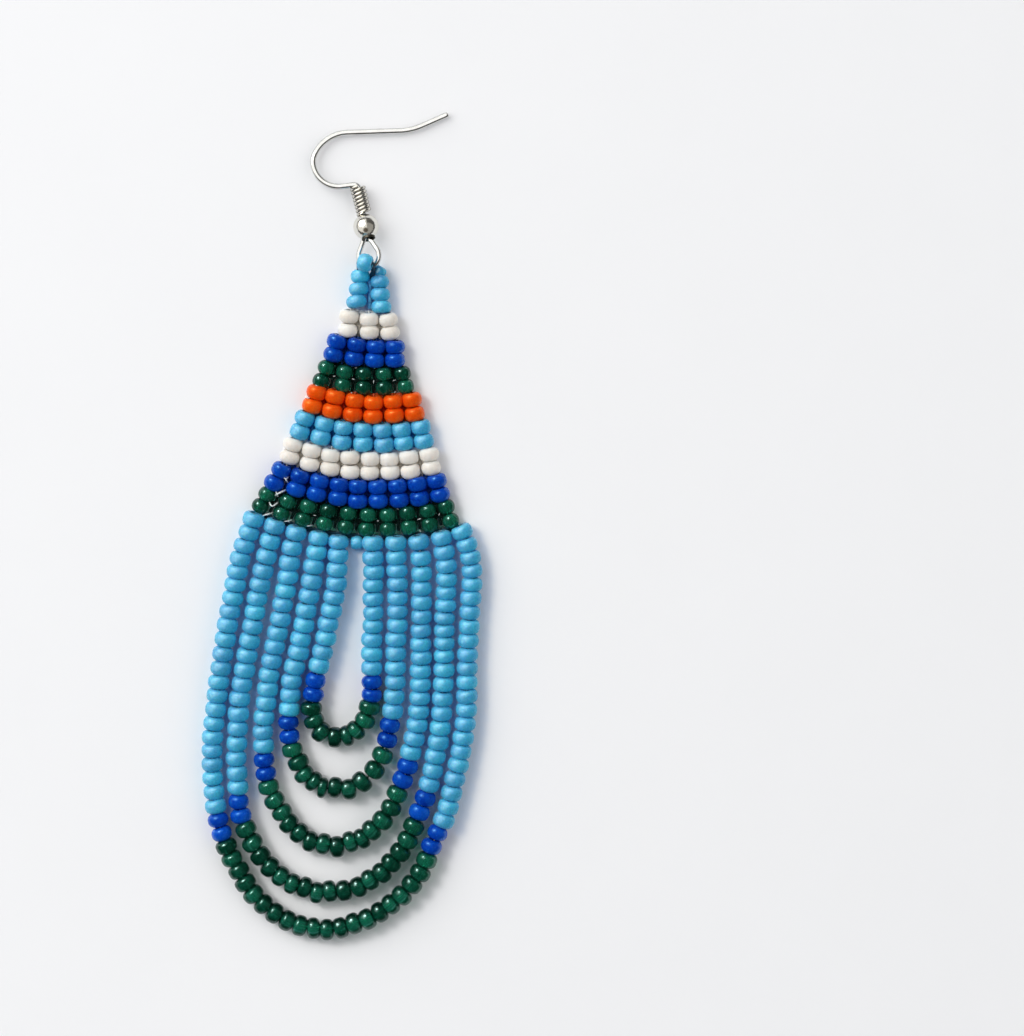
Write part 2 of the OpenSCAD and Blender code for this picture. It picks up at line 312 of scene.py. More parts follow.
MAT = {
    "sky": bead_glass("sky bead glass", (0.002, 0.28, 0.49), (0.003, 0.39, 0.61), (0.008, 0.50, 0.71),
                      0.26, 0.50, 0.42, (0.010, 0.34, 0.63), sss=0.7, sss_radius=(0.05, 0.7, 1.1), tint=(0.6, 0.9, 1.0),
                      veil=(0.84, 1.55), leak=(0.0, 0.29, 0.56), grain=0.22),
    "cobalt": bead_glass("cobalt bead glass", (0.001, 0.026, 0.28), (0.002, 0.052, 0.43), (0.004, 0.11, 0.60),
                         0.23, 1.0, 0.12, (0.003, 0.09, 0.56), sss=0.5, sss_radius=(0.02, 0.2, 0.6),
                         tint=(0.24, 0.68, 1.0), leak=(0.0, 0.06, 0.14)),
    "orange": bead_glass("orange bead glass", (0.66, 0.054, 0.002), (0.82, 0.085, 0.003), (0.92, 0.135, 0.005),
                         0.31, 0.9, 0.14, (0.88, 0.11, 0.004), sss=0.4, sss_radius=(0.7, 0.2, 0.05),
                         tint=(1.0, 0.62, 0.17), leak=(0.32, 0.06, 0.01)),
    "white": bead_glass("white bead glass", (0.70, 0.655, 0.59), (0.80, 0.765, 0.71), (0.86, 0.83, 0.785),
                        0.48, 0.45, 0.25, (0.79, 0.735, 0.69), sss=0.8, sss_radius=(1.0, 0.9, 0.8),
                        leak=(0.22, 0.21, 0.18), grain=0.06),
    "green": green_glass("emerald bead glass"),
    "wire": bright_metal("ear wire metal", (0.86, 0.86, 0.84), 0.08, 0.06, 0.10, painted_side_shade=0.55),
    "ball": bright_metal("ball metal", (0.84, 0.82, 0.76), 0.10, 0.12, 0.15, dents=0.5,
                         # a greyer, rougher patch by the lower hole, and a small dark spot on top that is a painted
                         # reflection of the camera overhead
                         spots=((tuple(G(367.2, 236.0, 2.3) / 1000), 0.00062, (0.55, 0.52, 0.46), 0.45),
                                (tuple(G(366.3, 231.2, 3.10) / 1000), 0.00036, (0.13, 0.11, 0.085), 0.25))),
    "coil": bright_metal("coil metal", (0.82, 0.79, 0.72), 0.14, 0.10, 0.15, painted_side_shade=0.22),
    # near-black, painted as the shade inside the ball's lower hole
    "collar": bright_metal("darkened collar metal", (0.05, 0.045, 0.035), 0.35, 0.2, 0.3),
    "thread": nylon("clear nylon thread", (0.78, 0.82, 0.82), (0.95, 0.97, 0.97), 0.35, 0.12),
    "core": shaded_thread("shaded nylon thread"),
}

# ---------------------------------------------------------------- beads
# how round the section is, bore radius, segments round, points on the outline
SHAPE = {"sky": (2.65, 0.46, 32, 13), "cobalt": (2.3, 0.42, 32, 13), "orange": (2.35, 0.42, 32, 13),
         "white": (2.2, 0.40, 32, 13), "green": (2.15, 0.28, 40, 17)}


def outline(r, h, bore, n, k):
    """Bead section, k points from the upper hole edge round the outside to the lower one."""
    s = np.linspace(math.pi / 2, -math.pi / 2, 241)
    rho = bore + (r - bore) * np.abs(np.cos(s)) ** (2 / n)
    z = h / 2 * np.sign(np.sin(s)) * np.abs(np.sin(s)) ** (2 / n)
    keep = rho > bore + 0.05
    rho, z = rho[keep], z[keep]
    d = np.concatenate([[0], np.cumsum(np.hypot(np.diff(rho), np.diff(z)))])
    u = np.linspace(0, d[-1], k)
    rho, z = np.interp(u, d, rho), np.interp(u, d, z)
    e = h / 2
    tail = [(bore + 0.012, -e + 0.02), (bore, -e + 0.08), (bore, e - 0.08), (bore + 0.012, e - 0.02)]
    return np.array(list(zip(rho, z)) + tail)


class Run:
    """Collects the beads of one piece and makes one mesh of them."""

    def __init__(self):
        self.v, self.f, self.n = [], [], 0
        self.att = {"tone": [], "hue": [], "rim": [], "turn": [], "band": [], "across": [], "level": []}

    def bead(self, kind, centre, axis, r, h, rng, tone=None, up=0.0, bore=None, square=None):
        n, hole, seg, k = SHAPE[kind]
        hole = bore if bore is not None else hole * rng.uniform(0.94, 1.06)
        n = (square or n) * rng.uniform(0.92, 1.1)
        P = outline(r, h, hole, n, k)
        m = len(P)
        # slightly out of round, and cut a little off square
        phi = np.linspace(0, 2 * math.pi, seg, endpoint=False)
        a1, a2 = rng.uniform(0, 6.28), rng.uniform(0, 6.28)
        e1, skew = rng.uniform(0.0, 0.014), rng.uniform(0.0, 0.045)
        grow = 1 + e1 * np.cos(2 * phi + a1)
        V = np.zeros((m, seg, 3))
        V[:, :, 0] = P[:, :1] * np.cos(phi) * grow
        V[:, :, 1] = P[:, :1] * np.sin(phi) * grow
        V[:, :, 2] = P[:, 1:2] + skew * np.cos(phi + a2) * (P[:, :1] / r) * np.sign(P[:, 1:2]) * rng.choice([-1, 1])
        V = V.reshape(-1, 3)
        a = np.array(axis, float)
        a /= np.linalg.norm(a)
        b = np.cross(a, (0, 0, 1.0) if abs(a[2]) < 0.9 else (1.0, 0, 0))
        b /= np.linalg.norm(b)
        c = np.cross(a, b)
        V = V @ np.array([b, c, a]) + np.array(centre)
        if up is not None:                      # rests on the floor
            V[:, 2] += up - V[:, 2].min()
        base = self.n
        i = np.arange(m)[:, None]
        j = np.arange(seg)[None, :]
        q = np.stack([i * seg + j, ((i + 1) % m) * seg + j, ((i + 1) % m) * seg + (j + 1) % seg, i * seg + (j + 1) % seg], -1)
        self.f.append(q.reshape(-1, 4) + base)
        self.v.append(V)
        self.n += len(V)
        one = np.ones(m * seg)
        self.att["tone"].append(one * (rng.random() if tone is None else tone))
        self.att["hue"].append(one * rng.random())
        rim = np.clip((r - P[:, 0]) / (r - hole), 0, 1)
        self.att["rim"].append(np.repeat(rim, seg))
        self.att["turn"].append(np.tile(np.abs(np.linspace(-1, 1, seg, endpoint=False)), m))
        self.att["band"].append(np.repeat(P[:, 1] / h, seg))
        if kind == "green":                     # across the bead from its upper-left side to its lower-right side, and how level its hole is; the clear glass paints its shade and pale hole edge by these
            self.att["across"].append(np.tile(np.cos(phi) * np.sign(b @ (0.55, -0.83, 0.0)), m))
            self.att["level"].append(one * np.clip((abs(b[1]) - 0.3) / 0.5, 0, 1))

    def piece(self, name, mat, *nodes):
        me = bpy.data.meshes.new(name)
        V = np.concatenate(self.v) / 1000.0
        F = np.concatenate(self.f)
        me.from_pydata(V.tolist(), [], F.tolist())
        me.polygons.foreach_set("use_smooth", np.ones(len(F), bool))
        for k, a in self.att.items():
            if a:
                me.attributes.new(k, "FLOAT", "POINT").data.foreach_set("value", np.concatenate(a).astype(np.float32))
        me.update()
        return place(name, me, mat, *nodes)


def place(name, me, mat, *nodes):
    ob = bpy.data.objects.new(name, me)
    bpy.context.scene.collection.objects.link(ob)
    me.materials.append(MAT[mat])
    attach(ob, "root")
    if nodes:
        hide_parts(*nodes)
    return ob


# ---------------------------------------------------------------- tubes


def tube(path, radius, sides=16, flat_end=False, start_cap=True):
    """Closed tube along path (mm), with a soft bevel at each end."""
    path = np.array(path, float)
    tan = np.gradient(path, axis=0)
    tan /= np.linalg.norm(tan, axis=1)[:, None]
    nrm = np.cross(tan[0], (0, 0, 1.0))
    if np.linalg.norm(nrm) < 0.1:
        nrm = np.cross(tan[0], (1.0, 0, 0))
    nrm /= np.linalg.norm(nrm)
    rings = []
    rad = np.full(len(path), radius) if np.isscalar(radius) else np.array(radius)
    ang = np.linspace(0, 2 * math.pi, sides, endpoint=False)
    for i in range(len(path)):
        nrm = nrm - tan[i] * np.dot(nrm, tan[i])
        nrm /= np.linalg.norm(nrm)
        bi = np.cross(tan[i], nrm)
        ring = lambda p, s: p + s * (np.cos(ang)[:, None] * nrm + np.sin(ang)[:, None] * bi)
        if i == 0:
            rings.append(ring(path[0] - tan[0] * rad[0] * 0.25, rad[0] * 0.55))
            rings.append(ring(path[0] - tan[0] * rad[0] * 0.2, rad[0] * 0.85))
        rings.append(ring(path[i], rad[i]))
        if i == len(path) - 1:
            rings.append(ring(path[i] + tan[i] * rad[i] * 0.2, rad[i] * 0.85))
            rings.append(ring(path[i] + tan[i] * rad[i] * 0.25, rad[i] * 0.55))
    V = np.concatenate(rings)
    n = len(rings)
    F = []
    for i in range(n - 1):
        for j in range(sides):
            F.append((i * sides + j, (i + 1) * sides + j, (i + 1) * sides + (j + 1) % sides, i * sides + (j + 1) % sides))
    F.append(tuple(range(sides)))
    F.append(tuple(reversed(range((n - 1) * sides, n * sides))))
    return V, F


def tubes_piece(name, mat, parts, *nodes, shades=None):
    V, F, n = [], [], 0
    for v, f in parts:
        V.append(v)
        F += [tuple(i + n for i in q) for q in f]
        n += len(v)
    me = bpy.data.meshes.new(name)
    me.from_pydata((np.concatenate(V) / 1000.0).tolist(), [], F)
    me.polygons.foreach_set("use_smooth", np.ones(len(F), bool))
    if shades:
        col = np.concatenate([np.tile((*c, 1.0), len(v)) for c, (v, f) in zip(shades, parts)])
        me.attributes.new("shade", "FLOAT_COLOR", "POINT").data.foreach_set("color", col.astype(np.float32))
    me.update()
    return place(name, me, mat, *nodes)


def smooth(P, k=8):
    P = [np.array(p, float) for p in P]
    E = [2 * P[0] - P[1]] + P + [2 * P[-1] - P[-2]]
    out = []
    for i in range(len(P) - 1):
        a, b, c, d = E[i:i + 4]
        for j in range(k):
            t = j / k
            out.append(0.5 * (2 * b + (c - a) * t + (2 * a - 5 * b + 4 * c - d) * t * t
                              + (3 * b - a - 3 * c + d) * t ** 3))
    out.append(P[-1])
    return np.array(out)


# ---------------------------------------------------------------- fringe loops
# bead counts [sky, cobalt, green, cobalt, sky], then every bead's centre on the
# grid, down the left strand, round the foot and up the right strand
LOOPS = {
    1: ([10, 2, 8, 2, 10],
        [(338.5, 542), (338, 555.5), (337, 569.5), (336.5, 583.5), (334, 597), (331.5, 610.5), (328, 624), (326, 638),
         (322.5, 652), (319, 665.5), (315.5, 680.5), (313.5, 694.5),
         (311.5, 708.5), (314, 721), (321, 732), (335, 737.5), (347, 736), (356, 730.5), (365, 720.5), (369.5, 707.5),
         (371.8, 695), (371.8, 682), (371.8, 668), (371.8, 653.8), (371.8, 639.7), (372.9, 626), (373.4, 612.7),
         (372.9, 599), (372.9, 585.3), (373.9, 572), (372.9, 558), (372.9, 543.2)]),
    2: ([13, 2, 10, 2, 13],
        [(318.5, 538.5), (316.5, 552.5), (313.5, 566.5), (311.5, 581.5), (309, 596), (306, 610.5), (304, 625), (300.5, 639),
         (298.5, 652.5), (294.5, 667), (291.5, 681), (290.5, 695), (289.5, 709), (288.5, 722.5), (289.5, 736.5),
         (292.5, 750), (298.5, 762.5), (304, 774.5), (313.5, 781.5), (322.5, 788), (335, 787.7), (349, 789.5),
         (362, 782), (374.5, 770), (382.5, 755.5),
         (387.3, 740), (389.9, 725.3), (392.6, 711), (394.2, 696.5), (395.3, 682.1), (395.3, 668), (395.8, 653.5),
         (395.8, 639.2), (397.4, 625.3), (397.4, 611.5), (397.4, 598), (397.4, 584), (396.9, 570.7), (396.3, 557.5),
         (395.8, 543.2)]),
    3: ([16, 2, 14, 2, 16],
        [(296, 533), (292, 548), (289.5, 563), (288, 577), (285.5, 591), (282.5, 604.7), (280.5, 619), (277.5, 633),
         (274.7, 646.5), (271.5, 661), (269, 675.2), (267.5, 689), (266, 703), (264, 717.5), (263, 731.7), (263.7, 745.7),
         (264.2, 760), (266, 773.7),
         (268.7, 787), (274.5, 800.5), (282, 812.5), (288.8, 823.5), (299, 833), (310, 841.5), (323.5, 844), (337, 847),
         (350.2, 842), (361.8, 838.8), (371.5, 830.5), (382.6, 820.5), (391.1, 808), (397, 794),
         (402.7, 780), (407.7, 766.2), (410.7, 752.3), (414.2, 738.6), (417, 724.9), (418.7, 711.5), (419.8, 698),
         (420.3, 684.5), (420.3, 671), (421.3, 657.5), (420.6, 644.3), (420.9, 630.6), (421.4, 616.7), (421.4, 602.5),
         (421.4, 588.3), (421.7, 573.8), (420.9, 558.3), (418.7, 542.3)]),
    4: ([19, 2, 17, 2, 19],
        [(274.5, 526.5), (270, 541.3), (266.5, 556.5), (263, 571), (260, 584.7), (257.2, 598.5), (255, 612.2), (252.7, 626.5),
         (249.7, 641), (247, 655.5), (244.7, 670), (242, 684.2), (239.7, 698.8), (238.5, 713.7), (237.8, 728.5), (237, 743.4),
         (236.3, 758.3), (237.2, 773), (238, 787.2), (238.7, 801.5), (241, 815.8),
         (246, 829), (252.5, 843), (260.5, 856), (270, 867), (280.5, 876.3), (292, 883.8), (304.5, 887.3), (316.7, 892.8),
         (329.7, 891.3), (344, 890.7), (358.5, 887.3), (369.8, 880), (381.7, 873), (391, 863), (400.2, 852.3),
         (407.7, 840.2), (413.6, 826.5),
         (419.3, 812.2), (425.2, 798.2), (429, 784.3), (432.8, 770.5), (435.2, 756.3), (438.3, 742), (440.1, 727.9),
         (441.6, 713.3), (442.3, 698.8), (443.3, 684.4), (444, 669.9), (444, 656), (444.3, 643.2), (444.3, 630.6),
         (444.5, 618.1), (445.5, 605.5), (446, 592.5), (446.5, 579.4), (446.3, 565.8), (444.2, 552.4), (441.7, 538.2)]),
    5: ([22, 2, 20, 2, 22],
        [(253.5, 519.5), (249, 533), (244.3, 546), (240.2, 558.8), (237.5, 571.6), (235.3, 584.7), (232.8, 598), (230, 611.5),
         (227.6, 625), (225.4, 639.3), (223, 654), (221, 668.2), (218.8, 682), (217.3, 695.4), (215.8, 709.3), (214, 723.4),
         (212.7, 737.2), (212.2, 750.5), (212.4, 764), (212.7, 778), (214, 792), (215.7, 806), (218.2, 820), (221.8, 833.5),
         (226.5, 846.3), (231.8, 858.8), (239, 870.7), (245.5, 883), (253.3, 894.3), (263.3, 904.3), (274.7, 913.2),
         (287, 920.7), (299.8, 925.7), (313.5, 928.3), (327, 929.7), (340.7, 928), (353.9, 923.6), (367.5, 919.2),
         (379.7, 912.4), (390.8, 904.5), (401.8, 895.8), (411.8, 884.6), (420.2, 872.9), (426.6, 860),
         (431.4, 846.2), (437.5, 833), (443.7, 820.3), (448.2, 807), (451.6, 793), (454.8, 778.8), (458.2, 764.9),
         (460.9, 751.4), (463.2, 737.8), (465.1, 723.8), (466.4, 709.9), (466.8, 696), (466.9, 682.1), (467.2, 668.3),
         (467.5, 654.6), (468.4, 640.6), (469.2, 626.6), (469.7, 612.2), (470.7, 598.2), (471.9, 584.5), (471.9, 571),
         (470.4, 557.8), (467, 545), (462, 532)]),
}
PARTS = ("sky_left", "cobalt_left", "green", "cobalt_right", "sky_right")
KINDS = ("sky", "cobalt", "green", "cobalt", "sky")
THREAD_R = 0.07
threads = []
cores = []
shades = []
# painted shade: thread colours for the gaps between the beads, standing for the shade there and the light the glass
# round it bounces in
SHADE = {"sky": (0.025, 0.27, 0.46), "cobalt": (0.010, 0.09, 0.50), "orange": (0.80, 0.09, 0.015),
         "white": (0.95, 0.90, 0.81), "green": (0.004, 0.026, 0.020),
         "deep": (0.004, 0.05, 0.085), "light": (0.22, 0.66, 0.90)}


def core(path, radius, sides, kind):
    cores.append(tube(path, radius, sides))
    shades.append(SHADE[kind])


CENTRES = {k: np.array([G(x, y, 1.29) for x, y in pts]) for k, (counts, pts) in LOOPS.items()}
for k, (counts, pts) in LOOPS.items():
    assert sum(counts) == len(pts), (k, sum(counts), len(pts))
    rng = random.Random(1700 + k)
    C = CENTRES[k]
    others = np.concatenate([c for j, c in CENTRES.items() if j != k])
    gap = np.linalg.norm(np.diff(C, axis=0), axis=1)
    T = np.gradient(C, axis=0)
    at = 0
    for part, kind, n in zip(PARTS, KINDS, counts):
        run = Run()
        for i in range(at, at + n):
            before = gap[max(i - 1, 0)]
            after = gap[min(i, len(gap) - 1)]
            h = 0.5 * (before + after) * 0.995
            h = min(max(h, 1.36), 1.84)
            if (k, i) == (2, 19):               # the one thin bead at the foot of loop 2
                h = 1.15
            if (k, i) == (1, 16):
                h = 1.32
            near = np.linalg.norm(others - C[i], axis=1).min()
            r = (min(1.35, near / 2 + 0.03) if kind != "cobalt" else 1.31) * rng.uniform(0.975, 1.015)
            a = T[i] / np.linalg.norm(T[i])
            lean = rng.gauss(0, 2.2 if kind != "green" else 4.0)
            pitch = rng.gauss(0, 0.03 if kind != "green" else 0.07)
            c, s = math.cos(math.radians(lean)), math.sin(math.radians(lean))
            a = np.array([a[0] * c - a[1] * s, a[0] * s + a[1] * c, pitch])
            a[2] += 0.22 * a[1]                 # lies a little over the bead before it
            run.bead(kind, C[i] + np.array([0, 0.04, 0]), a, r, h, rng, up=0.0, square=2.75 if kind == "green" else None)
        node = f"loop{k}_{part}"
        run.piece("beads." + node, kind, node)
        at += n
    # two plies of thread run through the beads, a little slack; in the clear
    # green glass one thread stands for them, painted near-black as the shade it makes there
    first, last = counts[0] + counts[1], len(pts) - counts[3] - counts[4]
    for part in (C[:first + 1], C[last - 1:]):
        Q = smooth(part, 4)
        for ply in (-1, 1):
            Z = Q.copy()
            wob = np.arange(len(Q))
            Z[:, 2] += 0.10 * ply + 0.03 * np.sin(wob * 0.9 + k)
            Z[:, 0] += 0.05 * np.sin(wob * 0.37 + ply + k)
            threads.append(tube(Z, THREAD_R, 6))
    core(smooth(C[first - 1:last + 1], 4), 0.10, 6, "green")

# ---------------------------------------------------------------- woven bands
BANDS = [
    ("white_upper", "white", 3, (350, 316.5), (369, 319), (388, 320), (348, 329.5), (369, 332.4), (390, 333)),
    ("cobalt_upper", "cobalt", 4, (337, 341.5), (366, 345.9), (395, 346.5), (333, 355), (364, 359.5), (395, 359.8)),
    ("green_upper", "green", 5, (326, 367.5), (364, 373.6), (403, 373.2), (321, 380.5), (363, 387.3), (405, 386.6)),
    ("orange", "orange", 6, (316, 392.3), (364, 401.3), (412, 400), (312, 405.8), (363, 415.2), (415, 413.4)),
    ("sky", "sky", 7, (305, 418.2), (363, 429.7), (421, 427), (300, 431.5), (363, 443.9), (424, 440.5)),
    ("white_lower", "white", 8, (293, 444.8), (360, 458.3), (429, 454), (289, 457.8), (360, 472.3), (431, 467.8)),
    ("cobalt_lower", "cobalt", 9, (281, 469.8), (358, 486.1), (437, 481), (275, 482.8), (358, 500.1), (440, 494.4)),
    ("green_lower", "green", 10, (267, 494.6), (358, 514), (447, 507), (260, 505.8), (356, 528), (451, 520.4)),
]


def bowed(L, M, R, t):
    return (1 - t) * (1 - 2 * t) * L + 4 * t * (1 - t) * M + t * (2 * t - 1) * R


for b, (node, kind, n, *p) in enumerate(BANDS):
    rng = random.Random(40 + b)
    run = Run()
    L1, M1, R1, L2, M2, R2 = [G(x, y, 1.2) for x, y in p]
    up = [bowed(L1, M1, R1, i / (n - 1)) for i in range(n)]
    low = [bowed(L2, M2, R2, i / (n - 1)) for i in range(n)]
    wide = np.linalg.norm(up[1] - up[0])
    for i in range(n):
        a = low[i] - up[i]
        tall = min(max(np.linalg.norm(a) * 1.03, 1.72), 1.86)
        for c in (up[i], low[i]):
            c = c + np.array([rng.gauss(0, 0.045), rng.gauss(0, 0.04), 0])
            lean = math.radians(rng.gauss(0, 2.5))
            ax = np.array([a[0] * math.cos(lean) - a[1] * math.sin(lean),
                           a[0] * math.sin(lean) + a[1] * math.cos(lean), -0.24 * np.linalg.norm(a) + rng.gauss(0, 0.05)])
            r = min(1.27, wide * 0.52) * rng.uniform(0.985, 1.01)
            if kind == "green":
                r *= 0.85
            run.bead(kind, c, ax, r, tall * rng.uniform(0.985, 1.015), rng)
    run.piece("beads.band_" + node, kind, "band_" + node)
    # thread low down between the rows and columns, painted as the shade in the gaps
    lift = 0.2 if kind == "white" else 0.0
    for rowline in ([u + (u - l) * 0.48 for u, l in zip(up, low)], [(u + l) / 2 for u, l in zip(up, low)]):
        for dy, z0 in ((-0.14, 0.45 + lift), (0.14, 0.5 + lift)):
            Z = smooth(rowline, 6)
            w = np.arange(len(Z))
            Z[:, 1] += dy
            Z[:, 2] = z0 + 0.08 * np.sin(w * 2 * math.pi / 6 + dy * 9)
            core(Z, 0.16, 6, kind)
    if kind == "green":                         # loose turns that catch the light
        for i in range(1, n):
            for q in (-0.45, 0.5, 1.45):
                if rng.random() < 0.5:
                    e = (up[i - 1] + up[i]) / 2 * (1 - q) + (low[i - 1] + low[i]) / 2 * q
                    e = e + np.array([rng.uniform(-0.12, 0.12), rng.uniform(-0.2, 0.2), 0])
                    e[2] = rng.uniform(1.15, 1.6)
                    turn = rng.uniform(0, math.pi)
                    d = np.array([math.cos(turn), math.sin(turn), 0.25]) * rng.uniform(0.10, 0.22)
                    threads.append(tube(np.array([e - d, e + np.array([0, 0, 0.05]), e + d]), rng.uniform(0.045, 0.065), 6))
    tail = 0.3 if b == len(BANDS) - 1 else 0.6
    if b == len(BANDS) - 1:                     # dark turns under the last row, painted as the shade between the band and the strands
        for q, z0 in ((0.5, 0.55), (0.66, 0.4)):
            Z = smooth([l + (l - u) * q for u, l in zip(up, low)], 6)
            Z[:, 2] = z0
            core(Z, 0.2, 6, "deep")
    for i in range(n):
        core(smooth([up[i] + (up[i] - low[i]) * 0.6, up[i], low[i], low[i] + (low[i] - up[i]) * tail], 3),
             0.06 if kind == "green" else 0.1, 6, kind)
        if i:
            for q in (0.5,):
                e = up[i - 1] * (1 - q) + up[i] * q
                f = low[i - 1] * (1 - q) + low[i] * q
                e, f = e + (e - f) * 0.5, f + (f - e) * (0.5 if tail == 0.6 else 0.2)
                e[2] = f[2] = 0.55 + lift
                core(np.array([e, (e + f) / 2, f]), 0.17, 6, kind)

# clear thread that comes up for a moment between the outer beads
for r, *bend in ((0.085, (283.2, 476.6, 1.5), (285.4, 478.6, 2.05), (287.4, 478.2, 1.9), (288.8, 476.4, 1.3)),
                 (0.085, (285.8, 478.8, 1.9), (286.8, 480.6, 2.05), (288.2, 482.8, 1.5)),
                 (0.11, (275.8, 495.4, 1.7), (278.4, 493.8, 2.15), (282.0, 492.0, 2.2), (285.6, 490.2, 1.6)),
                 (0.09, (276.2, 491.6, 1.6), (277.4, 494.0, 2.1), (278.0, 496.4, 1.6)),
                 (0.10, (269.6, 502.6, 1.6), (271.6, 505.4, 2.15), (273.6, 506.0, 2.2), (277.8, 502.8, 1.6)),
                 (0.09, (263.4, 515.6, 1.5), (266.0, 514.8, 1.95), (269.4, 514.0, 1.95), (272.6, 512.8, 1.3)),
                 (0.07, (283.6, 521.6, 1.2), (287.0, 521.2, 1.7), (291.6, 520.0, 1.3)),
                 (0.07, (304.6, 525.8, 1.2), (308.4, 526.0, 1.6), (312.4, 525.2, 1.2)),
                 (0.09, (305.6, 396.6, 1.6), (308.2, 398.2, 2.05), (310.8, 397.4, 1.6)),
                 (0.08, (315.6, 384.8, 1.6), (317.4, 386.4, 2.0), (320.2, 387.2, 1.5))):
    threads.append(tube(smooth([G(*q) for q in bend], 6), r, 8))

# ---------------------------------------------------------------- apex and link beads
rng = random.Random(9)


def small_run(name, node, rows):
    run = Run()
    for (x, y, z, head, pitch, r, h, up) in rows:
        a = (math.cos(math.radians(head)), math.sin(math.radians(head)), pitch)
        run.bead("sky", G(x, y, z), a, r, h, rng, tone=None, up=up, square=2.15)
    return run.piece(name, "sky", node)


small_run("beads.apex_left", "apex_left",
          [(356.4, 301.6, 1.2, -80, 0.0, 1.31, 1.66, 0.0), (358.7, 289.0, 1.2, -84, 0.0, 1.25, 1.62, 0.0),
           (360.2, 276.2, 1.2, -86, 0.05, 1.2, 1.66, 0.0)])
small_run("beads.apex_right", "apex_right",
          [(381.3, 306.8, 1.2, -92, 0.0, 1.25, 1.62, 0.0), (380.2, 294.4, 1.2, -92, 0.0, 1.24, 1.6, 0.0),
           (379.8, 281.7, 1.2, -92, 0.04, 1.19, 1.6, 0.0)])
small_run("beads.apex_front", "apex_front", [(365.7, 263.9, 3.25, -14, 0.16, 1.16, 1.86, None)])
small_run("beads.apex_back", "apex_back", [(379.2, 270.8, 0.95, 62, 0.15, 0.90, 1.16, None)])
small_run("beads.link_bead", "link_bead", [(356.6, 542.7, 0.86, 0, 0.0, 0.86, 1.5, 0.0)])

# ---------------------------------------------------------------- ear wire
STEM = G(367.3, 233, 1.55)
FOOT = G(366.1, 233, 1.55)
WIRE_R = 0.375


def rot(ax, d):
    c, s = math.cos(math.radians(d)), math.sin(math.radians(d))
    M = np.eye(4)
    i, j = {"x": (1, 2), "y": (2, 0), "z": (0, 1)}[ax]
    M[i, i] = M[j, j] = c
    M[i, j], M[j, i] = -s, s
    return M


def mov(x, y, z):
    M = np.eye(4)
    M[:3, 3] = (x, y, z)
    return M


AT_STEM = mov(*STEM) @ rot("x", -4.5) @ rot("z", 101)
AT_FOOT = mov(*FOOT) @ rot("z", -83) @ rot("y", -2) @ rot("x", 28)
HOOK = [(5.66,), (0.6, 86), (1.48,), (3.2, -97), (2.0, -22), (4.6, -66), (6.6,), (7.5, 22), (3.45,)]

M = AT_STEM @ mov(0, 0, 0)
line = [M[:3, 3].copy()]
for h in HOOK:
    if len(h) == 1:
        n = max(2, int(h[0] / 0.25))
        line += [(M @ mov(h[0] * j / n, 0, 0))[:3, 3] for j in range(1, n + 1)]
        M = M @ mov(h[0], 0, 0)
    else:
        r, a = h
        s = 1 if a > 0 else -1
        n = max(4, int(abs(math.radians(a)) * r / 0.12))
        line += [(M @ mov(0, s * r, 0) @ rot("z", a * j / n) @ mov(0, -s * r, 0))[:3, 3] for j in range(1, n + 1)]
        M = M @ mov(0, s * r, 0) @ rot("z", a) @ mov(0, -s * r, 0)
FOOT_R, FOOT_D = 1.45, 2.9
half = math.asin(FOOT_R / FOOT_D)
foot = []
L = FOOT_D * math.cos(half)
for j in range(12):
    s = L * j / 12
    foot.append((s * math.cos(-half), s * math.sin(-half), 0))
n = 44
for j in range(n + 1):
    t = -(math.pi / 2 + half) + (math.pi + 2 * half) * j / n
    foot.append((FOOT_D + FOOT_R * math.cos(t), FOOT_R * math.sin(t), 0))
for j in range(11, -1, -1):
    s = L * j / 12
    foot.append((s * math.cos(half), s * math.sin(half), 0))
foot = np.array([(AT_FOOT @ np.array([*p, 1.0]))[:3] for p in foot])
tubes_piece("ear_wire.wire", "wire", [tube(line, WIRE_R, 24), tube(foot, 0.335, 24)], "ear_wire")

# fine wire wound round the stem, its turns leaning toward the hook
TURNS, PITCH = 7.3, 0.465
R_COIL, r_fine = 0.77, 0.215
AT_COIL = AT_STEM @ mov(4.2, 0, 0) @ rot("z", 3.2)
coil = []
steps = 30
for j in range(int(TURNS * steps) + 1):
    a = 2 * math.pi * j / steps - 0.3
    x = -1.68 + PITCH * j / steps - 0.10 * math.cos(a)
    coil.append((AT_COIL @ np.array([x, R_COIL * math.cos(a), R_COIL * math.sin(a), 1.0]))[:3])
tubes_piece("wire_coil.turns", "coil", [tube(coil, r_fine, 14)], "wire_coil")

# the hollow ball, turned so that its lower hole lifts a little into view
bc = G(366.1, 227, 1.6)
prof = []
RB, WALL = 1.6, 0.14
hole_top, hole_low = 0.47, 0.84
t0 = math.asin(hole_top / RB)
t1 = math.pi - math.asin(hole_low / RB)
for j in range(41):
    t = t0 + (t1 - t0) * j / 40
    prof.append((RB * math.sin(t), RB * math.cos(t)))
lip = prof[-1]
prof += [(lip[0] - 0.03, lip[1] - 0.02), (lip[0] - 0.10, lip[1] - 0.02), (lip[0] - 0.14, lip[1] + 0.03)]
for j in range(12):
    t = (t1 - 0.1) - (t1 - 0.1 - t0 - 0.15) * j / 11
    prof.append(((RB - WALL) * math.sin(t), (RB - WALL) * math.cos(t)))
seg = 64


